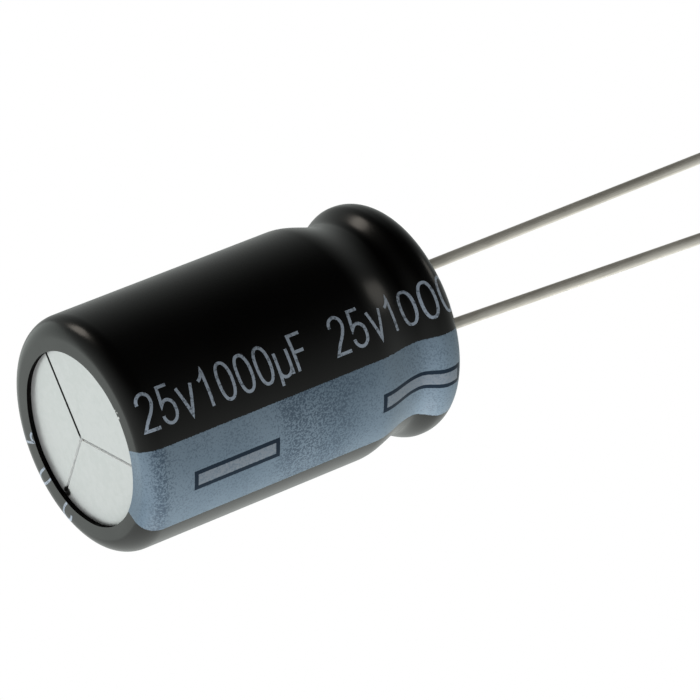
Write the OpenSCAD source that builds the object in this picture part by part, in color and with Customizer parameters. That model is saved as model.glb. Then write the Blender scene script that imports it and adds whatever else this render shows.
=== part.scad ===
// Radial aluminium electrolytic capacitor, 12.5 x 20 mm size, standing on its closed end.
// Z = 0 is the lip of the sleeve under the closed end, and both wires point up, to +Z.
// X runs through both wires: the negative wire, beside the printed stripe, is at +X.

/* [Can] */
// Outer diameter of the drawn can
can_d = 12.5; // [10:0.1:18]
// Height of the can, from its closed end to the top of its curled rim
can_h = 19.65; // [16:0.05:40]
// Thickness of the can's side wall
can_wall = 0.3; // [0.2:0.05:0.45]
// Thickness of the can's closed end
end_t = 0.45; // [0.3:0.05:0.7]
// Outer radius of the corner round the closed end
corner_r = 0.85; // [0.75:0.05:1.2]
// Outer radius of the curl at the open end
curl_r = 1; // [0.8:0.05:1.2]
// Angle that the curl turns past its top, down on to the bung
curl_past_top = 60; // [40:5:75]

/* [Bead] */
// Depth of the bead that is rolled into the can to hold the bung
bead_depth = 0.58; // [0.3:0.02:0.8]
// Length of the bead's slope on the side of the closed end
bead_long_slope = 2.8; // [1.5:0.1:3.2]
// Length of the bead's slope on the side of the rim
bead_short_slope = 1.4; // [1:0.1:2]
// Plain wall between the bead and the curl
bead_shelf = 0.12; // [0.05:0.01:0.5]

/* [Vent score] */
// Width of the vent's three score lines at the surface
score_w = 0.16; // [0.1:0.02:0.3]
// Depth of the score lines
score_depth = 0.2; // [0.1:0.02:0.26]
// Plain metal between the end of a score line and the can's corner
score_margin = 0.55; // [0.5:0.05:1.5]
// Direction of the first score line
score_turn = 227; // [0:1:360]
// How far off the axis the die struck the three lines, square to the first of them
score_off = 0.32; // [0:0.02:0.4]

/* [Sleeve] */
// Thickness of the shrunk sleeve on the can's side
film_t = 0.15; // [0.08:0.01:0.25]
// Thickness of the sleeve's gathered lip under the closed end
lip_t = 0.28; // [0.15:0.01:0.4]
// Width of the lip's flat ring, from the corner to the round window
lip_w = 0.65; // [0.3:0.05:2]
// Thickness of the sleeve on top of the rim
rim_film_t = 0.2; // [0.1:0.01:0.3]
// Angle that the sleeve turns past the top of the rim
film_past_top = 35; // [10:5:40]

/* [Bung] */
// Height of the rubber bung, without its raised middle
bung_h = 4.1; // [3.6:0.1:5]
// Height of the raised middle of the bung
bung_step = 0.3; // [0.1:0.05:0.5]
// Bare ring of rubber between the raised middle and the tip of the curl
bung_ring = 0.5; // [0.2:0.05:0.8]
// Depth of the dimple round each wire
dimple_depth = 0.22; // [0.1:0.02:0.28]
// Width of the dimple's sloping side
dimple_w = 0.25; // [0.1:0.05:0.5]

/* [Wires] */
// Diameter of the tinned wires
lead_d = 0.6; // [0.5:0.05:0.8]
// Distance between the two wires
pitch = 5; // [4:0.1:5.5]
// Length of the positive wire past the rim
lead_long = 25.5; // [15:0.5:40]
// Length of the negative wire past the rim
lead_short = 21.5; // [12:0.5:36]
// Height above the rim at which the negative wire leans outwards
lean_h = 2.2; // [1:0.1:6]
// Angle at which the negative wire leans outwards
lean_angle = 3.7; // [1:0.1:8]
// Chamfer at the cut ends of the wires
lead_chamfer = 0.08; // [0.02:0.01:0.15]

/* [Tabs] */
// Diameter of the round aluminium shank that passes through the bung
shank_d = 1.8; // [1.4:0.1:2.2]
// Rubber left above the shank, round the weld
shank_cover = 1.2; // [1:0.1:2.4]
// Width of the flattened blade
blade_w = 2; // [1.5:0.1:2.6]
// Thickness of the flattened blade
blade_t = 0.3; // [0.2:0.05:0.4]
// Height of the blade that is stitched inside the winding
blade_l = 11; // [4:0.5:11]

/* [Winding] */
// Free height between the winding and the bung
head_space = 0.8; // [0.3:0.1:2]
// Diameter of the hole that the winding pin leaves
core_d = 1.6; // [1:0.1:2.4]
// Chamfer round the foot of the winding
foot_chamfer = 0.55; // [0.4:0.05:1]
// Thickness of the tape that closes the winding
tape_t = 0.1; // [0.05:0.01:0.2]
// Winding left bare above and below the tape
tape_margin = 1.5; // [1:0.1:3]
// Free play between the taped winding and the can
winding_play = 0.1; // [0.05:0.01:0.3]

/* [Hidden] */
$fn = 96;

// Gap left between pieces that press on each other
seat_gap = 0.01;
// Points along a quarter of a corner, and along each slope of the bead
arc_steps = 14;
slope_steps = 14;
// Extra length of a cutter past the surface that it opens
cut = 0.1;

can_r = can_d / 2;
bore_r = can_r - can_wall;
corner_c = [can_r - corner_r, lip_t + corner_r];
curl_c = [can_r - curl_r, lip_t + can_h - curl_r];
seat_z = lip_t + can_h + rim_film_t;
floor_z = lip_t + end_t;
window_r = corner_c[0] - lip_w;
score_l = corner_c[0] - score_margin;

bead_end_z = curl_c[1] - bead_shelf;
bead_mid_z = bead_end_z - bead_short_slope;
bead_start_z = bead_mid_z - bead_long_slope;

bung_top_z = curl_c[1] + (curl_r - can_wall) * cos(curl_past_top) - seat_gap;
bung_foot_z = bung_top_z - bung_h;
bung_face_z = bung_top_z + bung_step;
bung_mid_r = curl_c[0] - curl_r * sin(curl_past_top) - bung_ring;

lead_r = lead_d / 2;
shank_r = shank_d / 2;
weld_z = bung_top_z - shank_cover;
weld_h = bung_face_z - weld_z;
lean_z = seat_z + lean_h;

winding_r = bore_r - winding_play - tape_t - seat_gap;
winding_foot_z = floor_z + seat_gap;
winding_top_z = bung_foot_z - head_space;
blade_foot_z = winding_top_z - blade_l;
shank_foot_z = winding_top_z + head_space / 2;

// Points on an elliptical arc round the centre c, with half widths rx and rz
function arc(c, rx, rz, from, to) =
    let (steps = ceil(arc_steps * abs(to - from) / 90))
    [for (i = [0 : steps])
        let (a = from + (to - from) * i / steps)
        [c[0] + rx * cos(a), c[1] + rz * sin(a)]];

// Share of the bead's depth at height z: a raised cosine down each slope
function bead_share(z) =
    let (along = z < bead_mid_z ? (z - bead_start_z) / bead_long_slope
                                : (bead_end_z - z) / bead_short_slope)
    (1 - cos(180 * min(max(along, 0), 1))) / 2;

// Heights at which the beaded wall has a point
bead_heights = concat(
    [for (i = [0 : slope_steps]) bead_start_z + bead_long_slope * i / slope_steps],
    [for (i = [1 : slope_steps]) bead_mid_z + bead_short_slope * i / slope_steps]);

// Side wall through the bead, from the closed end up, for a surface of radius r
function beaded_wall(r) = [for (z = bead_heights) [r - bead_depth * bead_share(z), z]];

function reversed(list) = [for (i = [len(list) - 1 : -1 : 0]) list[i]];

// The can's outer surface moved out by side, under the corner by foot and over the rim by top
function skin(side, foot, top, past_top) = concat(
    arc(corner_c, corner_r + side, corner_r + foot, -90, 0),
    beaded_wall(can_r + side),
    arc(curl_c, curl_r + side, curl_r + top, 0, 90 + past_top));

// Place of a piece of the positive (-1) or the negative (1) terminal
module terminal(side) {
    translate([side * pitch / 2, 0, 0]) children();
}

// Passage of a terminal through the bung, with a dimple at its mouth and room all round
module wire_passage(room) {
    throat_r = lead_r + (shank_r - lead_r) * dimple_depth / weld_h + room;
    rotate_extrude() polygon([
        [0, bung_foot_z - cut],
        [shank_r + room, bung_foot_z - cut],
        [shank_r + room, weld_z],
        [throat_r, bung_face_z - dimple_depth],
        [throat_r + dimple_w, bung_face_z],
        [throat_r + dimple_w, bung_face_z + cut],
        [0, bung_face_z + cut]
    ]);
}

// Shrink sleeve: follows the can through the bead, and over both ends
module sleeve() {
    color("#1d1b1b")
    rotate_extrude() polygon(concat(
        [[window_r, 0]],
        skin(film_t, lip_t, rim_film_t, film_past_top),
        reversed(skin(seat_gap, seat_gap, seat_gap, film_past_top)),
        [[window_r, lip_t - seat_gap]]
    ));
}

// One line of the vent score: a V cut into the closed end
module score_line() {
    rotate([90, 0, 90]) linear_extrude(score_l) polygon([
        [-score_w / 2, lip_t],
        [-score_w / 2, lip_t - cut],
        [score_w / 2, lip_t - cut],
        [score_w / 2, lip_t],
        [0, lip_t + score_depth]
    ]);
}

// Drawn can with its rolled bead, its curled rim and the three-rayed vent score
module can() {
    color("#d5d8d6")
    difference() {
        rotate_extrude() polygon(concat(
            [[0, lip_t]],
            skin(0, 0, 0, curl_past_top),
            arc(curl_c, curl_r - can_wall, curl_r - can_wall, 90 + curl_past_top, 0),
            reversed(beaded_wall(bore_r)),
            arc(corner_c, corner_r - can_wall, corner_r - end_t, 0, -90),
            [[0, floor_z]]
        ));
        rotate([0, 0, score_turn]) translate([0, -score_off, 0])
            for (ray = [0 : 2]) rotate([0, 0, 120 * ray]) score_line();
    }
}

// Rubber bung, squeezed to a waist by the bead and held down by the curl
module bung() {
    fill_r = curl_r - can_wall - seat_gap;
    fill_a = asin((bung_top_z - curl_c[1]) / fill_r);
    color("#2b2a2b")
    difference() {
        rotate_extrude() polygon(concat(
            [[0, bung_foot_z], [bore_r - seat_gap - bead_depth * bead_share(bung_foot_z), bung_foot_z]],
            [for (p = beaded_wall(bore_r - seat_gap)) if (p[1] > bung_foot_z) p],
            arc(curl_c, fill_r, fill_r, 0, fill_a),
            [[bung_mid_r, bung_top_z], [bung_mid_r, bung_face_z], [0, bung_face_z]]
        ));
        for (side = [-1, 1]) terminal(side) wire_passage(seat_gap);
    }
}

// Foil and paper wound into one roll, with slots for the two blades
module wound_element() {
    color("#b9a888")
    difference() {
        rotate_extrude() polygon([
            [core_d / 2, winding_foot_z],
            [winding_r - foot_chamfer, winding_foot_z],
            [winding_r, winding_foot_z + foot_chamfer],
            [winding_r, winding_top_z],
            [core_d / 2, winding_top_z]
        ]);
        for (side = [-1, 1]) terminal(side) blade(seat_gap, cut);
    }
}

// Tape that keeps the winding closed
module element_tape() {
    tape_foot_z = winding_foot_z + foot_chamfer + tape_margin;
    tape_h = winding_top_z - tape_margin - tape_foot_z;
    color("#c9a24a")
    translate([0, 0, tape_foot_z]) difference() {
        cylinder(h = tape_h, r = winding_r + seat_gap + tape_t);
        translate([0, 0, -cut]) cylinder(h = tape_h + 2 * cut, r = winding_r + seat_gap);
    }
}

// Flattened end of a tab inside the winding, with room round it and a longer top
module blade(room, longer) {
    translate([-blade_t / 2 - room, -blade_w / 2 - room, blade_foot_z - room])
        cube([blade_t + 2 * room, blade_w + 2 * room, blade_l + room + longer]);
}

// Aluminium tab: a blade below and a round shank through the bung
module tab(side) {
    color("#c7cacb")
    terminal(side) {
        blade(0, shank_foot_z - winding_top_z);
        translate([0, 0, shank_foot_z]) cylinder(h = weld_z - seat_gap - shank_foot_z, r = shank_r);
    }
}

module tab_positive() {
    tab(-1);
}

module tab_negative() {
    tab(1);
}

// Straight round wire with a small chamfer at its cut end
module straight_wire(length) {
    cylinder(h = length - lead_chamfer, r = lead_r);
    translate([0, 0, length - lead_chamfer])
        cylinder(h = lead_chamfer, r1 = lead_r, r2 = lead_r - lead_chamfer);
}

// Weld that joins a wire to its shank, drawn out to a cone up to the bung's face
module weld() {
    translate([0, 0, weld_z]) cylinder(h = weld_h, r1 = shank_r, r2 = lead_r);
}

// Positive wire: straight for its whole length
module lead_positive() {
    color("#b3aca3")
    terminal(-1) {
        weld();
        translate([0, 0, weld_z]) straight_wire(seat_z + lead_long - weld_z);
    }
}

// Half space beyond the plane that splits the lean of the negative wire in two
module past_lean() {
    reach = lead_short + lead_d;
    translate([0, 0, lean_z]) rotate([0, lean_angle / 2, 0])
        translate([-reach, -reach, 0]) cube([2 * reach, 2 * reach, 2 * reach]);
}

// Negative wire: straight up past the rim, then leaning outwards
module lead_negative() {
    color("#b3aca3")
    terminal(1) {
        weld();
        difference() {
            translate([0, 0, weld_z]) cylinder(h = lean_z + lead_d - weld_z, r = lead_r);
            past_lean();
        }
        intersection() {
            translate([0, 0, lean_z]) rotate([0, lean_angle, 0]) translate([0, 0, -lead_d])
                straight_wire(lead_short - lean_h + lead_d);
            past_lean();
        }
    }
}

sleeve();
can();
bung();
wound_element();
element_tape();
tab_positive();
tab_negative();
lead_positive();
lead_negative();
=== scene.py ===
import math

import bmesh
import bpy
from mathutils import Matrix, Vector, noise

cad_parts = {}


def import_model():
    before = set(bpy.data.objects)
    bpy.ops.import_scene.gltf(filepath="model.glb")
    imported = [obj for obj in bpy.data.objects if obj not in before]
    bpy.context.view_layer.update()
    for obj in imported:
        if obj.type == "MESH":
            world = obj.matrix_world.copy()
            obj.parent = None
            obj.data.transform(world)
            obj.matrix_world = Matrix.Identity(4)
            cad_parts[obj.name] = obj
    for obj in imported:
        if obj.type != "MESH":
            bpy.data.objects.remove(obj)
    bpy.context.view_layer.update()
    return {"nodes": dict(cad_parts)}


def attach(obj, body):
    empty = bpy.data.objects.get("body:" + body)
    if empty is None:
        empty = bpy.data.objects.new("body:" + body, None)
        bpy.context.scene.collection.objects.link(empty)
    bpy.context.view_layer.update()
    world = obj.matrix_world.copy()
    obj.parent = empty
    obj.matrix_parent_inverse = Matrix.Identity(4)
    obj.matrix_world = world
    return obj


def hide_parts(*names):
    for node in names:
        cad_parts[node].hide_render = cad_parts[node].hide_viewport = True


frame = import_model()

# The capacitor stands on its closed end, wires up, with the printed stripe at +X.
# Lengths in this script are millimetres until point() or MM turns them into metres.
MM = 0.001

# Camera, at the photograph's viewing angle. CLIP_M is in metres.
VIEW_AZ = 47.66
VIEW_EL = -30.40
VIEW_ROLL = 68.11
VIEW_FROM = (197.05, -178.32, -139.13)
PICTURE_PX = 700
FOCAL_PX = 5888.7
SENSOR = 36.0
CLIP_M = (0.01, 10.0)

# Sleeve: steps round it and along its section, turns in degrees at which the section is smooth or
# cut off and the faces meet in a sharp edge, and the small waves of the lip's inner edge
AROUND = 192
NOMINAL_R = 6.4
SMOOTH_TURN = 20.0
STRAIGHT = 0.5
RING_STEP = 0.08
WALL_STEP = 0.7
CUT_TURN = 45.0
FILM_CORNER = 50
INK_CORNER = 40
SEAM_TOL = 1e-7
LIP_WAVE = 0.02
LIP_WAVES = 4.0
LIP_H = 0.3
LIP_W = 0.05

# Printed stripe and its hollow marks, in degrees round the sleeve and in mm along its skin
STRIPE_FROM = -24.3
STRIPE_TO = 22.5
STRIPE_SOFT = 0.12
STRIPE_RAGGED = 1.5
MARK_MIDDLE = -1.9
MARK_W = 1.16
MARK_L = 5.34
MARK_LINE = 0.25
MARK_START = 3.84
MARK_SOFT = 0.012
MARK_RAGGED = 0.05
PRINT_PERIOD = 11.95

# Dark grain in the stripe: a zone between the marks with its soft ends, and a band on the shoulder, in
# mm along the skin; how much more of the grain shows there, how dark it is and how soft
GRAIN_ZONE = (9.3, 14.0)
GRAIN_FADE = (0.8, 2.0)
SHOULDER = 1.9
SHOULDER_FADE = (0.1, 0.8)
GRAIN_LEVEL = 0.42
GRAIN_IN_ZONE = 0.06
GRAIN_IN_PATCHES = 0.05
GRAIN_AT_SHOULDER = 0.08
GRAIN_DARK = (0.42, 0.82)
GRAIN_SOFT = 0.06

# Scales of the noises on the sleeve, from fine to wide. From BACK_FROM on, the attribute back marks
# the film's cut edge and its hidden side.
FINE_SCALE = 11000.0
GRAIN_SCALE = 8500.0
PATCH_SCALE = 600.0
CLOUD_SCALE = 130.0
BACK_FROM = 0.03

# Shine of the sleeve: the film's roughness and how much it varies, what the ink adds, the roughness
# of the cut edge, and how much of the specular level the dullest places lose. Its relief: how far
# the film rises and falls, in metres, and the grain's share of that.
FILM_ROUGH = 0.19
ROUGH_RANGE = 0.08
ROUGH_SCALE = 700.0
INK_ROUGH = 0.2
EDGE_ROUGH = 0.8
SPECULAR = 0.5
DULL_LOSS = 0.42
RELIEF_M = 0.00002
RELIEF_SCALE = 260.0
GRAIN_RELIEF = 0.22

# Rating print: degrees round the skin to its foot, heights and gaps in mm, and how far the ink
# stands above and reaches below the skin
RATING = "25V1000µF"
TEXT_BASE = -33.6
TEXT_H = 1.93
TEXT_START = 1.6
TEXT_GAP = 0.37
STROKE_W = 0.17
INK_UP = 0.006
INK_DOWN = 0.004
INK_STEP = 0.07
MITRE = 0.35
PRINT_END = 0.25

# Print that crosses the lip: the heads of three numerals, each with the angle at its left side
LIP_PRINT = (("5", 145.5), ("0", 121.5), ("2", 96.0))
LIP_TEXT_H = 2.1
LIP_TEXT_TOP = 1.05

# Floor: its radius and where it fades are in metres; FLOOR_DOWN keeps it off the flat lip
FLOOR_R = 0.5
FLOOR_DOWN = 0.02
FLOOR_FADE = (0.02, 0.12)
FLOOR_SIDES = 96
FLOOR_TONE = (0.9, 0.9, 0.9, 1.0)

# Studio: dark above the lying can of the photograph, pale below it. DARK_FADE gives the level at each
# angle from the middle of the dark side.
DARK_TILT = 85.0
DARK_SIDE = -92.0
DARK_FADE = (
    (0, 0.002), (26, 0.006), (40, 0.04), (50, 0.09), (60, 0.16),
    (70, 0.23), (85, 0.35), (115, 0.55), (170, 0.95),
)
STUDIO_TINT = (0.95, 1.0, 0.965)
MATT_LIGHT = 1.4

# Soft round lamps, aimed at the height AIM_Z: the angle from +Z and the angle round it, the distance
# and the size in metres, the power, the colour, and whether the capacitor mirrors the lamp
AIM_Z = 10.0
LAMPS = {
    "side_lamp": (106, -147, 0.5, 0.19, 0.25, (1.0, 0.92, 0.82), True),
    "top_lamp": (22, -80, 0.6, 0.2, 0.1, (1.0, 0.95, 0.86), True),
    "end_lamp": (146, 35, 0.7, 0.7, 4.0, (1.0, 1.0, 1.0), False),
    "left_lamp": (108, 160, 0.7, 0.7, 0.6, (0.9, 1.0, 0.94), True),
    "wire_lamp": (35, -50, 0.7, 0.6, 1.3, (1.0, 0.97, 0.92), False),
    "stripe_lamp": (101, 80, 0.07, 0.05, 0.06, (1.0, 0.92, 0.84), False),
}


def point(r, turn, z):
    """A point in metres from a radius and a height in mm and a turn in radians."""
    return Vector((r * math.cos(turn), r * math.sin(turn), z)) * MM


# Section of the sleeve, read from the frame

def seam_loop(node):
    """The outline of a turned CAD node in its half plane y = 0, x > 0, as a loop of (r, z) in mm."""
    mesh = frame["nodes"][node].data
    places = [(round(v.co.x / MM, 4), round(v.co.z / MM, 4)) for v in mesh.vertices]
    on_seam = [abs(v.co.y) < SEAM_TOL and v.co.x > 0 for v in mesh.vertices]
    beside = {}
    for edge in mesh.edges:
        a, b = edge.vertices
        if on_seam[a] and on_seam[b]:
            p, q = places[a], places[b]
            if p != q:
                beside.setdefault(p, set()).add(q)
                beside.setdefault(q, set()).add(p)
    start = min(beside, key=lambda p: (p[1], p[0]))
    onward = max(beside[start], key=lambda p: p[0])
    loop = [start, onward]
    while True:
        ways = [p for p in beside[loop[-1]] if p != loop[-2]]
        if not ways or ways[0] == start:
            return loop
        loop.append(ways[0])


def turn_at(a, b, c):
    """Angle in degrees by which the way from a to b turns on to c."""
    first = Vector(b) - Vector(a)
    second = Vector(c) - Vector(b)
    return math.degrees(first.angle(second, 0.0))


def heading(before, at, after):
    """Direction of a smooth line through three points, at the middle one."""
    arriving = (Vector(at) - Vector(before)).normalized()
    leaving = (Vector(after) - Vector(at)).normalized()
    return (arriving + leaving).normalized()


def curve(b, c, leave, arrive, t):
    """Point on the curve from b to c that leaves and arrives in the given directions."""
    size = (c - b).length
    return (
        b * (2 * t ** 3 - 3 * t * t + 1) + leave * (size * (t ** 3 - 2 * t * t + t))
        + c * (3 * t * t - 2 * t ** 3) + arrive * (size * (t ** 3 - t * t))
    )


def refined(line, step, long_step):
    """The line with more points, smooth where it turns little and sharp at its corners."""
    out = []
    last = len(line) - 1
    for i in range(last):
        b, c = Vector(line[i]), Vector(line[i + 1])
        length = (c - b).length
        leave = arrive = (c - b).normalized()
        if i > 0 and turn_at(line[i - 1], b, c) < SMOOTH_TURN:
            leave = heading(line[i - 1], b, c)
        if i + 1 < last and turn_at(b, c, line[i + 2]) < SMOOTH_TURN:
            arrive = heading(b, c, line[i + 2])
        straight = length > STRAIGHT
        count = max(1, math.ceil(length / (long_step if straight else step)))
        for k in range(count):
            at = b.lerp(c, k / count) if straight else curve(b, c, leave, arrive, k / count)
            out.append(tuple(at))
    out.append(tuple(line[-1]))
    return out


class Skin:
    """The sleeve's outer skin: its points and the distance along them from the lip's inner edge."""

    def __init__(self, line):
        self.line = line
        self.along = [0.0]
        for p, q in zip(line, line[1:]):
            self.along.append(self.along[-1] + math.hypot(q[0] - p[0], q[1] - p[1]))
        self.length = self.along[-1]

    def at(self, s):
        """Radius, height and outward normal at the distance s."""
        s = min(max(s, 0.0), self.length)
        last = len(self.along) - 1
        i = next(k for k in range(1, last + 1) if self.along[k] >= s or k == last)
        p, q = self.line[i - 1], self.line[i]
        span = self.along[i] - self.along[i - 1]
        t = (s - self.along[i - 1]) / span
        dr, dz = (q[0] - p[0]) / span, (q[1] - p[1]) / span
        return p[0] + (q[0] - p[0]) * t, p[1] + (q[1] - p[1]) * t, dz, -dr

    def place(self, s, degrees, up):
        """The point at s along and at that angle round the skin, raised by up."""
        r, z, nr, nz = self.at(s)
        return point(r + up * nr, math.radians(degrees), z + up * nz)


# Mesh helpers

def piece(name, build, material):
    """A new object on the capacitor's body, with the mesh that build fills."""
    bm = bmesh.new()
    build(bm)
    mesh = bpy.data.meshes.new(name)
    bm.normal_update()
    bm.to_mesh(mesh)
    bm.free()
    for face in mesh.polygons:
        face.use_smooth = True
    obj = bpy.data.objects.new(name, mesh)
    bpy.context.scene.collection.objects.link(obj)
    obj.data.materials.append(material)
    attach(obj, "root")
    return obj


def sharp_by_angle(obj, degrees):
    """Marks the edges that turn more than the angle as sharp."""
    bm = bmesh.new()
    bm.from_mesh(obj.data)
    for edge in bm.edges:
        edge.smooth = len(edge.link_faces) == 2 and math.degrees(edge.calc_face_angle(0.0)) < degrees
    bm.to_mesh(obj.data)
    bm.free()


# Node helpers

class Shader:
    """A node material with short calls for the nodes that the finishes share."""

    def __init__(self, name):
        self.material = bpy.data.materials.new(name)
        self.material.use_nodes = True
        self.tree = self.material.node_tree
        self.tree.nodes.clear()
        self.out = self.new("ShaderNodeOutputMaterial")
        self.bsdf = self.new("ShaderNodeBsdfPrincipled")
        self.link(self.bsdf.outputs[0], self.out.inputs[0])

    def new(self, kind, **settings):
        node = self.tree.nodes.new(kind)
        for key, value in settings.items():
            setattr(node, key, value)
        return node

    def link(self, source, target):
        self.tree.links.new(source, target)

    def feed(self, node, inputs):
        for target, value in zip(node.inputs, inputs):
            if isinstance(value, bpy.types.NodeSocket):
                self.link(value, target)
            elif value is not None:
                target.default_value = value

    def math(self, operation, *inputs, clamp=False):
        node = self.new("ShaderNodeMath", operation=operation, use_clamp=clamp)
        self.feed(node, inputs)
        return node.outputs[0]

    def ramp(self, value, low, high, to_low=0.0, to_high=1.0):
        """value from low to high as to_low to to_high, eased."""
        node = self.new("ShaderNodeMapRange", interpolation_type="SMOOTHSTEP")
        self.feed(node, (value, low, high, to_low, to_high))
        return node.outputs[0]

    def mix(self, share, a, b):
        node = self.new("ShaderNodeMix", data_type="RGBA")
        for target, value in ((node.inputs[0], share), (node.inputs[6], a), (node.inputs[7], b)):
            if isinstance(value, bpy.types.NodeSocket):
                self.link(value, target)
            elif isinstance(value, tuple):
                target.default_value = (*value, 1.0)
            else:
                target.default_value = value
        return node.outputs[2]

    def noise(self, vector, scale, detail=2.0, roughness=0.5):
        node = self.new("ShaderNodeTexNoise")
        self.link(vector, node.inputs["Vector"])
        node.inputs["Scale"].default_value = scale
        node.inputs["Detail"].default_value = detail
        node.inputs["Roughness"].default_value = roughness
        return node.outputs["Fac"]

    def position(self):
        """Place in the object, in metres."""
        return self.new("ShaderNodeTexCoord").outputs["Object"]

    def axes(self, vector):
        """The three parts of a vector."""
        node = self.new("ShaderNodeSeparateXYZ")
        self.link(vector, node.inputs[0])
        return tuple(node.outputs)

    def stretched(self, vector, scale):
        node = self.new("ShaderNodeMapping")
        self.link(vector, node.inputs["Vector"])
        node.inputs["Scale"].default_value = scale
        return node.outputs[0]

    def bump(self, height, distance, strength=1.0):
        node = self.new("ShaderNodeBump")
        node.inputs["Strength"].default_value = strength
        node.inputs["Distance"].default_value = distance
        self.link(height, node.inputs["Height"])
        self.link(node.outputs[0], self.bsdf.inputs["Normal"])

    def set(self, **values):
        for key, value in values.items():
            target = self.bsdf.inputs[key.replace("_", " ")]
            if isinstance(value, bpy.types.NodeSocket):
                self.link(value, target)
            else:
                target.default_value = (*value, 1.0) if isinstance(value, tuple) else value


# Finishes: colours, in pairs of a dark and a light tone where a surface is mottled

FILM = (0.0012, 0.0010, 0.0009)
FILM_WORN = (0.0026, 0.0024, 0.0023)
INK = (0.092, 0.139, 0.191)
INK_PALE = (0.140, 0.194, 0.253)
INK_DARK = (0.024, 0.046, 0.080)
INK_LILAC = (0.168, 0.19, 0.226)
LINE_NAVY = (0.011, 0.020, 0.034)
LETTER = (0.28, 0.325, 0.395)
LETTER_DARK = (0.11, 0.13, 0.16)
NICK = (0.45, 0.46, 0.45)
# Painted shade: the dark of one vent score groove, and of a painted shadow at another line's end
PAINTED_SHADE = (0.02, 0.02, 0.019)
CAN_METAL = ((0.565, 0.577, 0.582), (0.641, 0.65, 0.658))
SCORED_METAL = (0.80, 0.804, 0.81)
TAB_METAL = ((0.7, 0.71, 0.72), (0.82, 0.83, 0.84))
WIRE_METAL = ((0.51, 0.485, 0.435), (0.67, 0.64, 0.585))
RUBBER = ((0.018, 0.018, 0.019), (0.034, 0.033, 0.034))
WINDING = ((0.5, 0.42, 0.3), (0.66, 0.58, 0.44))
TAPE = ((0.6, 0.4, 0.12), (0.74, 0.52, 0.2))

# Bright nicks at the lip's inner edge: the angle, the distance along the skin and the size. NICK_R is
# the radius there, and NICK_EDGE is how far past their size they fade.
NICKS = ((-45.3, 0.06, 0.07), (-48.6, 0.12, 0.05), (-50.4, 0.03, 0.04))
NICK_R = 4.8
NICK_RAGGED = 0.1
NICK_EDGE = (0.03, 0.06)

# Painted shade in one of the vent's score lines, at the angle given below: the heights in mm between
# which the groove is painted dark, and how far the painted shade spreads beside it. SCORE_OFF is how far
# the lines pass the axis. A painted shadow lies at the end of another line.
GROOVE_FROM = 0.281
GROOVE_FULL = 0.30
VENT_DEPTH = 0.6
SHADED_RAY = 227
SHADE_SPREAD = (0.11, 0.15)
SHADE_RAGGED = 0.06
SHADE_SHARE = 0.85
SCORE_OFF = 0.32
NOTCH_SHADOW_R = 4.5
NOTCH_SHADOW_TURN = 108
NOTCH_SHADOW_SIZE = (0.38, 0.48)
NOTCH_SHADOW_RAGGED = 0.3


def hollow_marks(s, degrees, along, fine):
    """Where the cores of the hollow marks are, and where their outlines are."""
    across = s.math("MULTIPLY", s.math("SUBTRACT", degrees, MARK_MIDDLE), math.radians(NOMINAL_R))
    aside = s.math("SUBTRACT", s.math("ABSOLUTE", across), MARK_W / 2)
    turn = s.math("MODULO", s.math("ADD", along, PRINT_PERIOD - MARK_START), PRINT_PERIOD)
    ahead = s.math("SUBTRACT", s.math("ABSOLUTE", s.math("SUBTRACT", turn, MARK_L / 2)), MARK_L / 2)
    ragged = s.math("MULTIPLY", s.math("SUBTRACT", fine, 0.5), MARK_RAGGED)
    edge = s.math("ADD", s.math("MAXIMUM", aside, ahead), ragged)
    in_mark = s.ramp(edge, MARK_SOFT, -MARK_SOFT)
    in_core = s.ramp(edge, MARK_SOFT - MARK_LINE, -MARK_SOFT - MARK_LINE)
    return in_core, s.math("SUBTRACT", in_mark, in_core, clamp=True)


def stripe_ink(s, where, along, grain, clouds):
    """Mottled ink, with dark grain gathered in patches, on the shoulder and between the marks."""
    patches = s.noise(where, PATCH_SCALE, 2.0, 0.6)
    zone_from, zone_to = GRAIN_ZONE
    fade_in, fade_out = GRAIN_FADE
    zone = s.math("MULTIPLY", s.ramp(along, zone_from - fade_in, zone_from + fade_in),
                  s.ramp(along, zone_to + fade_out, zone_to - fade_out))
    off_shoulder = s.math("ABSOLUTE", s.math("SUBTRACT", along, SHOULDER))
    at_shoulder = s.ramp(off_shoulder, SHOULDER_FADE[1], SHOULDER_FADE[0])
    gathered = s.math("MULTIPLY", s.ramp(patches, 0.4, 0.65), GRAIN_IN_PATCHES)
    gathered = s.math("MULTIPLY_ADD", zone, GRAIN_IN_ZONE, gathered)
    gathered = s.math("MULTIPLY_ADD", at_shoulder, GRAIN_AT_SHOULDER, gathered)
    threshold = s.math("ADD", gathered, GRAIN_LEVEL)
    speckle = s.ramp(s.math("SUBTRACT", grain, threshold), GRAIN_SOFT, -GRAIN_SOFT)
    common, most = GRAIN_DARK
    depth = s.math("MULTIPLY_ADD", s.math("MAXIMUM", zone, at_shoulder), most - common, common)
    tone = s.mix(s.ramp(clouds, 0.35, 0.65), INK, INK_PALE)
    return s.mix(s.math("MULTIPLY", speckle, depth), tone, INK_DARK)


def nicked_film(s, degrees, along, fine, clouds):
    """The bare film, with the nicks at the lip's edge."""
    film = s.mix(s.ramp(clouds, 0.4, 0.7), FILM, FILM_WORN)
    for turn, at, size in NICKS:
        across = s.math("MULTIPLY", s.math("SUBTRACT", degrees, turn), math.radians(NICK_R))
        ahead = s.math("SUBTRACT", along, at)
        squares = s.math("ADD", s.math("POWER", across, 2.0), s.math("POWER", ahead, 2.0))
        ragged = s.math("MULTIPLY_ADD", fine, NICK_RAGGED, s.math("SQRT", squares))
        film = s.mix(s.ramp(ragged, size + NICK_EDGE[1], size + NICK_EDGE[0]), film, NICK)
    return film


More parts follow.
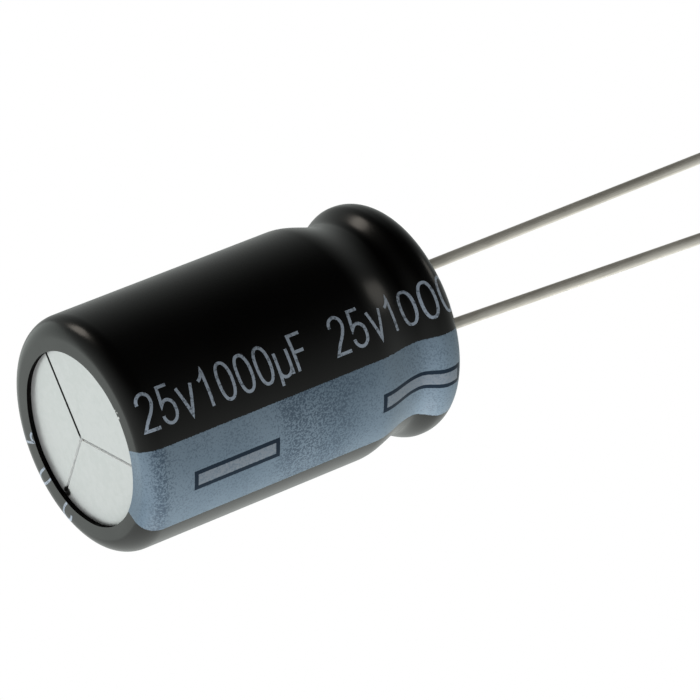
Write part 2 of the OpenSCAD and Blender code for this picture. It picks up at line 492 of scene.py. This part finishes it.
def sleeve_finish():
    """Black film with the stripe: grain, hollow marks and uneven ink."""
    s = Shader("sleeve_finish")
    where = s.position()
    x, y, _ = s.axes(where)
    degrees = s.math("MULTIPLY", s.math("ARCTAN2", y, x), math.degrees(1.0))
    along = s.new("ShaderNodeAttribute", attribute_name="along").outputs["Fac"]
    back = s.new("ShaderNodeAttribute", attribute_name="back").outputs["Fac"]

    fine = s.noise(where, FINE_SCALE, 3.0, 0.6)
    grain = s.noise(where, GRAIN_SCALE, 2.0, 0.8)
    clouds = s.noise(where, CLOUD_SCALE, 2.0, 0.5)

    jag = s.math("MULTIPLY", s.math("SUBTRACT", fine, 0.5), STRIPE_RAGGED)
    ragged = s.math("ADD", degrees, jag)
    inside = s.math("MULTIPLY", s.ramp(ragged, STRIPE_FROM - STRIPE_SOFT, STRIPE_FROM + STRIPE_SOFT),
                    s.ramp(ragged, STRIPE_TO + STRIPE_SOFT, STRIPE_TO - STRIPE_SOFT))
    inside = s.math("MULTIPLY", inside, s.math("LESS_THAN", back, BACK_FROM))

    in_core, line = hollow_marks(s, degrees, along, fine)
    tone = stripe_ink(s, where, along, grain, clouds)
    core_share = s.math("MULTIPLY", in_core, s.ramp(grain, 0.4, 0.55, 0.3, 0.85))
    tone = s.mix(core_share, tone, INK_LILAC)
    tone = s.mix(line, tone, LINE_NAVY)
    s.set(Base_Color=s.mix(inside, nicked_film(s, degrees, along, fine, clouds), tone))

    # The ink is duller than the film. The cut edge and the marks' outlines are the dullest.
    printed = s.math("MULTIPLY", inside, s.math("SUBTRACT", 1.0, line))
    rough = s.math("MULTIPLY_ADD", s.noise(where, ROUGH_SCALE, 3.0), ROUGH_RANGE, FILM_ROUGH)
    rough = s.math("MULTIPLY_ADD", printed, INK_ROUGH, rough)
    cut_edge = s.math("GREATER_THAN", back, BACK_FROM)
    dullest = s.math("MAXIMUM", cut_edge, line)
    s.set(Roughness=s.math("MAXIMUM", rough, s.math("MULTIPLY", cut_edge, EDGE_ROUGH)),
          Specular_IOR_Level=s.math("SUBTRACT", SPECULAR, s.math("MULTIPLY", dullest, DULL_LOSS)))
    relief = s.math("ADD", s.noise(where, RELIEF_SCALE, 1.0),
                    s.math("MULTIPLY", s.math("MULTIPLY", grain, printed), GRAIN_RELIEF))
    s.bump(relief, RELIEF_M)
    return s.material


def letter_finish():
    """Pale print with pinholes."""
    s = Shader("letter_finish")
    where = s.position()
    grain = s.noise(where, 6500.0, 2.0, 0.7)
    wide = s.noise(where, 900.0, 2.0)
    holes = s.ramp(s.math("ADD", grain, s.math("MULTIPLY", wide, 0.2)), 0.46, 0.56)
    s.set(Base_Color=s.mix(holes, LETTER_DARK, LETTER), Roughness=s.ramp(wide, 0.3, 0.7, 0.32, 0.45))
    s.bump(grain, 0.000004)
    return s.material


def metal_finish(name, tones, rough, scales, relief, metallic=1.0):
    """Bare metal: blotches, drawing lines along the axis of small scale, and fine relief."""
    s = Shader(name)
    where = s.position()
    blotches = s.noise(where, 350.0, 3.0, 0.6)
    lines = s.noise(s.stretched(where, scales), 1.0, 3.0, 0.6)
    tone = s.math("MULTIPLY_ADD", lines, 0.5, s.math("MULTIPLY", blotches, 0.5))
    s.set(Base_Color=s.mix(s.ramp(tone, 0.38, 0.62), *tones), Metallic=metallic,
          Roughness=s.ramp(tone, 0.3, 0.7, *rough))
    s.bump(lines, relief)
    return s


def can_finish():
    """Drawn aluminium, with painted shade in one of the vent's score lines and a painted shadow at the end
    of another.
    """
    s = metal_finish("can_finish", CAN_METAL, rough=(0.28, 0.40), scales=(2400, 2400, 2400),
                     relief=0.000002, metallic=0.7)
    where = s.position()
    x, y, z = s.axes(where)
    fine = s.noise(where, 6000.0, 3.0, 0.7)
    near_end = s.math("LESS_THAN", z, VENT_DEPTH * MM)
    deep = s.math("MULTIPLY", near_end, s.ramp(z, GROOVE_FROM * MM, GROOVE_FULL * MM))

    # The painted line: painted shade in its groove, and painted shade spread beside it
    turn = math.radians(SHADED_RAY)
    out = s.math("ADD", s.math("MULTIPLY", x, math.cos(turn)), s.math("MULTIPLY", y, math.sin(turn)))
    aside = s.math("ADD", s.math("MULTIPLY", x, -math.sin(turn)), s.math("MULTIPLY", y, math.cos(turn)))
    aside = s.math("ABSOLUTE", s.math("ADD", aside, SCORE_OFF * MM))
    past_middle = s.ramp(out, 0.0, 0.25 * MM)
    groove_shade = s.math("MULTIPLY", deep, past_middle)
    ragged = s.math("MULTIPLY_ADD", fine, SHADE_RAGGED * MM, aside)
    shade_beside = s.ramp(ragged, SHADE_SPREAD[1] * MM, SHADE_SPREAD[0] * MM)
    shade_beside = s.math("MULTIPLY", s.math("MULTIPLY", near_end, past_middle),
                   s.math("MULTIPLY", shade_beside, SHADE_SHARE))

    # Painted shadow at the end of another score line, by the lip's inner edge
    away = s.new("ShaderNodeVectorMath", operation="DISTANCE")
    s.link(where, away.inputs[0])
    away.inputs[1].default_value = point(NOTCH_SHADOW_R, math.radians(NOTCH_SHADOW_TURN), GROOVE_FROM)
    ragged = s.math("MULTIPLY_ADD", fine, NOTCH_SHADOW_RAGGED * MM, away.outputs["Value"])
    notch_shadow = s.math("MULTIPLY", near_end, s.ramp(ragged, NOTCH_SHADOW_SIZE[1] * MM, NOTCH_SHADOW_SIZE[0] * MM))

    metal = s.bsdf.inputs["Base Color"].links[0].from_socket
    metal = s.mix(s.math("MULTIPLY", deep, 0.5), metal, SCORED_METAL)
    # The painted shade in and beside the score groove, and the painted shadow, darken the metal's colour
    s.set(Base_Color=s.mix(s.math("MAXIMUM", s.math("MAXIMUM", groove_shade, shade_beside), notch_shadow), metal, PAINTED_SHADE))
    return s


def soft_finish(name, tones, rough, scale, relief):
    """Rubber, paper or tape: a mottled colour with fine relief."""
    s = Shader(name)
    where = s.position()
    grain = s.noise(where, scale, 3.0, 0.6)
    wide = s.noise(where, scale / 8, 2.0)
    s.set(Base_Color=s.mix(s.ramp(wide, 0.35, 0.65), *tones), Roughness=s.ramp(grain, 0.3, 0.7, *rough))
    s.bump(grain, relief)
    return s


# Pieces

def outer_skin():
    """The sleeve's section, split into the skin that shows and the side that lies on the can."""
    loop = seam_loop("sleeve")
    rim = max(range(len(loop)), key=lambda i: loop[i][1])
    beyond = range(rim, len(loop) - 1)
    cut = next(i for i in beyond if turn_at(loop[i - 1], loop[i], loop[i + 1]) > CUT_TURN)
    shown = refined(loop[:cut + 1], RING_STEP, WALL_STEP)
    hidden = refined(loop[cut:], 2 * RING_STEP, 10 * WALL_STEP)
    return Skin(shown), hidden[1:]


def sleeve_film(skin, hidden, material):
    """The shrunk film, with a slightly uneven inner edge under the closed end."""
    def build(bm):
        along = bm.verts.layers.float.new("along")
        back = bm.verts.layers.float.new("back")
        rings = [(r, z, s, 0.0) for (r, z), s in zip(skin.line, skin.along)]
        rings += [(r, z, skin.length, 1.0) for r, z in hidden]
        grid = []
        for r, z, s, turned in rings:
            ring = []
            for k in range(AROUND):
                turn = 2 * math.pi * k / AROUND
                wave = 0.0
                if z < LIP_H and r < rings[0][0] + LIP_W:
                    place = Vector((LIP_WAVES * math.cos(turn), LIP_WAVES * math.sin(turn), 1.0))
                    wave = LIP_WAVE * noise.noise(place)
                vert = bm.verts.new(point(r + wave, turn, z))
                vert[along] = s
                vert[back] = turned
                ring.append(vert)
            grid.append(ring)
        for ring, after in zip(grid, grid[1:] + grid[:1]):
            for k in range(AROUND):
                m = (k + 1) % AROUND
                bm.faces.new((ring[k], ring[m], after[m], after[k]))
    obj = piece("sleeve_film", build, material)
    sharp_by_angle(obj, FILM_CORNER)
    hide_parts("sleeve")
    return obj


def smooth(*points, steps=8):
    """Points on a curve through the given ones."""
    line = [Vector(p) for p in points]
    ways = [heading(a, b, c) for a, b, c in zip(line, line[1:], line[2:])]
    first, last = (line[1] - line[0]).normalized(), (line[-1] - line[-2]).normalized()
    ways = [(2 * first - ways[0]).normalized(), *ways, (2 * last - ways[-1]).normalized()]
    out = []
    for b, c, leave, arrive in zip(line, line[1:], ways, ways[1:]):
        out += [tuple(curve(b, c, leave, arrive, k / steps)) for k in range(steps)]
    return out + [tuple(line[-1])]


def oval(cx, cy, rx, ry, steps=40, power=0.86):
    """Closed line round a tall numeral's bowl."""
    out = []
    for k in range(steps + 1):
        turn = math.pi / 2 + 2 * math.pi * k / steps
        x, y = (math.copysign(abs(way) ** power, way) for way in (math.cos(turn), math.sin(turn)))
        out.append((cx + rx * x, cy + ry * y))
    return out


# Numerals and unit signs of a plain narrow stroke face: width, then centre lines, both for a height of 1
SIGNS = {
    "2": (0.42, [smooth((0.01, 0.74), (0.06, 0.92), (0.21, 1.0), (0.36, 0.93), (0.41, 0.75),
                        (0.33, 0.52), (0.13, 0.24), (0.0, 0.0)) + [(0.43, 0.0)]]),
    "5": (0.42, [[(0.39, 1.0), (0.1, 1.0)] + smooth((0.04, 0.5), (0.21, 0.62), (0.37, 0.53), (0.42, 0.32),
                                                    (0.36, 0.09), (0.2, 0.0), (0.06, 0.07), (0.0, 0.24))]),
    "1": (0.42, [smooth((0.05, 0.75), (0.17, 0.85), (0.25, 1.0)) + [(0.25, 0.0)]]),
    "0": (0.42, [oval(0.21, 0.5, 0.21, 0.5)]),
    "V": (0.46, [[(0.0, 0.8), (0.23, 0.0), (0.46, 0.8)]]),
    "µ": (0.40, [[(0.0, 0.7), (0.0, -0.2)],
                 smooth((0.0, 0.22), (0.05, 0.06), (0.18, 0.0), (0.32, 0.07), (0.39, 0.22)),
                 [(0.39, 0.7), (0.39, 0.0)]]),
    "F": (0.38, [[(0.0, 0.0), (0.0, 0.98), (0.38, 0.98)], [(0.0, 0.52), (0.32, 0.52)]]),
}


def dense(line, step):
    """The line with no two points further apart than step."""
    out = [line[0]]
    for p, q in zip(line, line[1:]):
        count = max(1, math.ceil(math.dist(p, q) / step))
        for k in range(1, count + 1):
            t = k / count
            out.append((p[0] + (q[0] - p[0]) * t, p[1] + (q[1] - p[1]) * t))
    return out


def shown_runs(line, closed, band):
    """The parts of a line that lie on the printed band of the skin, each with whether it is closed."""
    inside = [band[0] <= s <= band[1] for s, _ in line]
    if all(inside):
        return [(line, closed)]
    if closed:
        first = inside.index(False)
        line = line[first:-1] + line[:first]
    runs = [[]]
    for p in line:
        if band[0] <= p[0] <= band[1]:
            runs[-1].append(p)
        elif runs[-1]:
            runs.append([])
    return [(run, False) for run in runs if len(run) > 1]


def ribbon(bm, skin, line, closed):
    """One stroke of ink on the skin: line holds (along, around) in mm."""
    if closed:
        line = line[:-1]
    rows = []
    count = len(line)
    for i, (s, a) in enumerate(line):
        before = line[i - 1] if i > 0 or closed else (s, a)
        after = line[(i + 1) % count] if i + 1 < count or closed else (s, a)
        steps = ((before, (s, a)), ((s, a), after))
        ways = [(Vector(q) - Vector(p)).normalized() for p, q in steps if p != q]
        way = sum(ways, Vector((0.0, 0.0))).normalized()
        half = STROKE_W / 2 / max(way.dot(ways[0]), MITRE)
        row = []
        for side, up in ((-1, INK_UP), (1, INK_UP), (1, -INK_DOWN), (-1, -INK_DOWN)):
            at_s, at_a = s - side * half * way.y, a + side * half * way.x
            row.append(bm.verts.new(skin.place(at_s, math.degrees(at_a / NOMINAL_R), up)))
        rows.append(row)
    pairs = list(zip(rows, rows[1:]))
    if closed:
        pairs.append((rows[-1], rows[0]))
    for row, after in pairs:
        for k in range(4):
            m = (k + 1) % 4
            bm.faces.new((row[k], row[m], after[m], after[k]))
    if not closed:
        bm.faces.new(reversed(rows[0]))
        bm.faces.new(rows[-1])


def ink(name, skin, strokes, material):
    """Strokes of print on the skin, without what lies beyond the skin's ends."""
    band = (0.0, skin.length - PRINT_END)

    def build(bm):
        for stroke in strokes:
            closed = math.dist(stroke[0], stroke[-1]) < 1e-6
            for run, whole in shown_runs(dense(stroke, INK_STEP), closed, band):
                ribbon(bm, skin, run, whole)
        bmesh.ops.recalc_face_normals(bm, faces=bm.faces)
    obj = piece(name, build, material)
    sharp_by_angle(obj, INK_CORNER)
    return obj


def rating_strokes(start):
    """The rating, read from the closed end to the wires, with its foot beside the stripe."""
    strokes = []
    s = start
    foot = math.radians(TEXT_BASE) * NOMINAL_R
    for sign in RATING:
        wide, lines = SIGNS[sign]
        strokes += [[(s + x * TEXT_H, foot - y * TEXT_H) for x, y in line] for line in lines]
        s += wide * TEXT_H + TEXT_GAP
    return strokes


def lip_strokes():
    """Numerals read round the sleeve, of which only the heads reach on to it."""
    strokes = []
    for sign, degrees in LIP_PRINT:
        left = math.radians(degrees) * NOMINAL_R
        for line in SIGNS[sign][1]:
            strokes.append([(LIP_TEXT_TOP - (1 - y) * LIP_TEXT_H, left + x * LIP_TEXT_H) for x, y in line])
    return strokes


# Stage

def direction_of(tilt, side):
    """Unit vector at so many degrees from +Z and round it."""
    t, a = math.radians(tilt), math.radians(side)
    return Vector((math.sin(t) * math.cos(a), math.sin(t) * math.sin(a), math.cos(t)))


def world():
    """White to the camera, and to the object a studio with one dark side."""
    w = bpy.data.worlds.new("studio")
    bpy.context.scene.world = w
    w.use_nodes = True
    w.cycles.sampling_method = "NONE"
    tree = w.node_tree
    tree.nodes.clear()
    new, link = tree.nodes.new, tree.links.new
    path = new("ShaderNodeLightPath")
    coordinates = new("ShaderNodeTexCoord")
    toward = new("ShaderNodeVectorMath")
    toward.operation = "DOT_PRODUCT"
    toward.inputs[1].default_value = direction_of(DARK_TILT, DARK_SIDE)
    link(coordinates.outputs["Generated"], toward.inputs[0])
    away = new("ShaderNodeMapRange")
    away.inputs["From Min"].default_value = 1.0
    away.inputs["From Max"].default_value = -1.0
    link(toward.outputs["Value"], away.inputs["Value"])
    ramp = new("ShaderNodeValToRGB")
    ramp.color_ramp.interpolation = "LINEAR"
    stops = ramp.color_ramp.elements
    while len(stops) < len(DARK_FADE):
        stops.new(1.0)
    for stop, (angle, level) in zip(stops, DARK_FADE):
        stop.position = (1 - math.cos(math.radians(angle))) / 2
        stop.color = (*(level * part for part in STUDIO_TINT), 1.0)
    link(away.outputs[0], ramp.inputs[0])
    seen = new("ShaderNodeMix")
    seen.data_type = "RGBA"
    seen.inputs[7].default_value = (1.0, 1.0, 1.0, 1.0)
    link(path.outputs["Is Camera Ray"], seen.inputs[0])
    link(ramp.outputs[0], seen.inputs[6])
    direct = new("ShaderNodeMath")
    direct.operation = "MAXIMUM"
    link(path.outputs["Is Camera Ray"], direct.inputs[0])
    link(path.outputs["Is Glossy Ray"], direct.inputs[1])
    level = new("ShaderNodeMapRange")
    level.inputs["To Min"].default_value = MATT_LIGHT
    level.inputs["To Max"].default_value = 1.0
    link(direct.outputs[0], level.inputs["Value"])
    background = new("ShaderNodeBackground")
    out = new("ShaderNodeOutputWorld")
    link(level.outputs[0], background.inputs[1])
    link(seen.outputs[2], background.inputs[0])
    link(background.outputs[0], out.inputs[0])


def floor():
    """A pale floor that only a camera above it sees; it fades into the white round it."""
    bm = bmesh.new()
    bmesh.ops.create_circle(bm, cap_ends=True, radius=FLOOR_R, segments=FLOOR_SIDES)
    bmesh.ops.translate(bm, verts=bm.verts, vec=(0.0, 0.0, -FLOOR_DOWN * MM))
    mesh = bpy.data.meshes.new("floor")
    bm.to_mesh(mesh)
    bm.free()
    obj = bpy.data.objects.new("floor", mesh)
    bpy.context.scene.collection.objects.link(obj)
    s = Shader("floor_finish")
    s.tree.nodes.remove(s.bsdf)
    matt = s.new("ShaderNodeBsdfDiffuse")
    matt.inputs[0].default_value = FLOOR_TONE
    clear = s.new("ShaderNodeBsdfTransparent")
    reach = s.new("ShaderNodeVectorMath", operation="LENGTH")
    s.link(s.position(), reach.inputs[0])
    near = s.ramp(reach.outputs["Value"], FLOOR_FADE[1], FLOOR_FADE[0])
    seen = s.math("MULTIPLY", s.new("ShaderNodeLightPath").outputs["Is Camera Ray"], near)
    from_above = s.math("SUBTRACT", 1.0, s.new("ShaderNodeNewGeometry").outputs["Backfacing"])
    mix = s.new("ShaderNodeMixShader")
    s.feed(mix, (s.math("MULTIPLY", seen, from_above), clear.outputs[0], matt.outputs[0]))
    s.link(mix.outputs[0], s.out.inputs[0])
    mesh.materials.append(s.material)


def lamp(name, tilt, side, distance, size, power, colour, mirrored):
    """A soft round lamp that the camera doesn't see."""
    data = bpy.data.lights.new(name, "AREA")
    data.shape = "DISK"
    data.size = size
    data.energy = power
    data.color = colour
    obj = bpy.data.objects.new(name, data)
    way = direction_of(tilt, side)
    obj.location = Vector((0.0, 0.0, AIM_Z * MM)) + way * distance
    obj.rotation_euler = way.to_track_quat("Z", "Y").to_euler()
    bpy.context.scene.collection.objects.link(obj)
    obj.visible_camera = False
    obj.visible_glossy = mirrored


def camera():
    data = bpy.data.cameras.new("camera")
    data.sensor_width = SENSOR
    data.lens = FOCAL_PX / PICTURE_PX * SENSOR
    data.clip_start, data.clip_end = CLIP_M
    obj = bpy.data.objects.new("camera", data)
    az, el = math.radians(VIEW_AZ), math.radians(VIEW_EL)
    back = Vector((math.sin(az) * math.cos(el), -math.cos(az) * math.cos(el), math.sin(el)))
    level = Vector((math.cos(az), math.sin(az), 0.0))
    up = back.cross(level)
    turn = Matrix((level, up, back)).transposed() @ Matrix.Rotation(math.radians(VIEW_ROLL), 3, "Z")
    obj.matrix_world = Matrix.Translation(Vector(VIEW_FROM) * MM) @ turn.to_4x4()
    bpy.context.scene.collection.objects.link(obj)
    bpy.context.scene.camera = obj


camera()
world()
floor()
for name, settings in LAMPS.items():
    lamp(name, *settings)

skin, hidden = outer_skin()
sleeve_film(skin, hidden, sleeve_finish())
letters = letter_finish()
ink("rating_1", skin, rating_strokes(TEXT_START), letters)
ink("rating_2", skin, rating_strokes(TEXT_START + PRINT_PERIOD), letters)
ink("lip_print", skin, lip_strokes(), letters)

tab_finish = metal_finish("tab_finish", TAB_METAL, rough=(0.3, 0.45), scales=(900, 900, 60),
                          relief=0.000002)
wire_finish = metal_finish("wire_finish", WIRE_METAL, rough=(0.28, 0.42), scales=(7000, 7000, 90),
                           relief=0.000004, metallic=0.3)
NODE_FINISHES = {
    "can": can_finish(),
    "bung": soft_finish("bung_finish", RUBBER, rough=(0.5, 0.7), scale=2500.0, relief=0.00001),
    "wound_element": soft_finish("winding_finish", WINDING, rough=(0.6, 0.8), scale=1500.0, relief=0.00001),
    "element_tape": soft_finish("tape_finish", TAPE, rough=(0.2, 0.3), scale=900.0, relief=0.000005),
    "tab_positive": tab_finish,
    "tab_negative": tab_finish,
    "lead_positive": wire_finish,
    "lead_negative": wire_finish,
}
for node, finish in NODE_FINISHES.items():
    obj = frame["nodes"][node]
    obj.data.materials.clear()
    obj.data.materials.append(finish.material)

bpy.context.scene.view_settings.view_transform = "Standard"
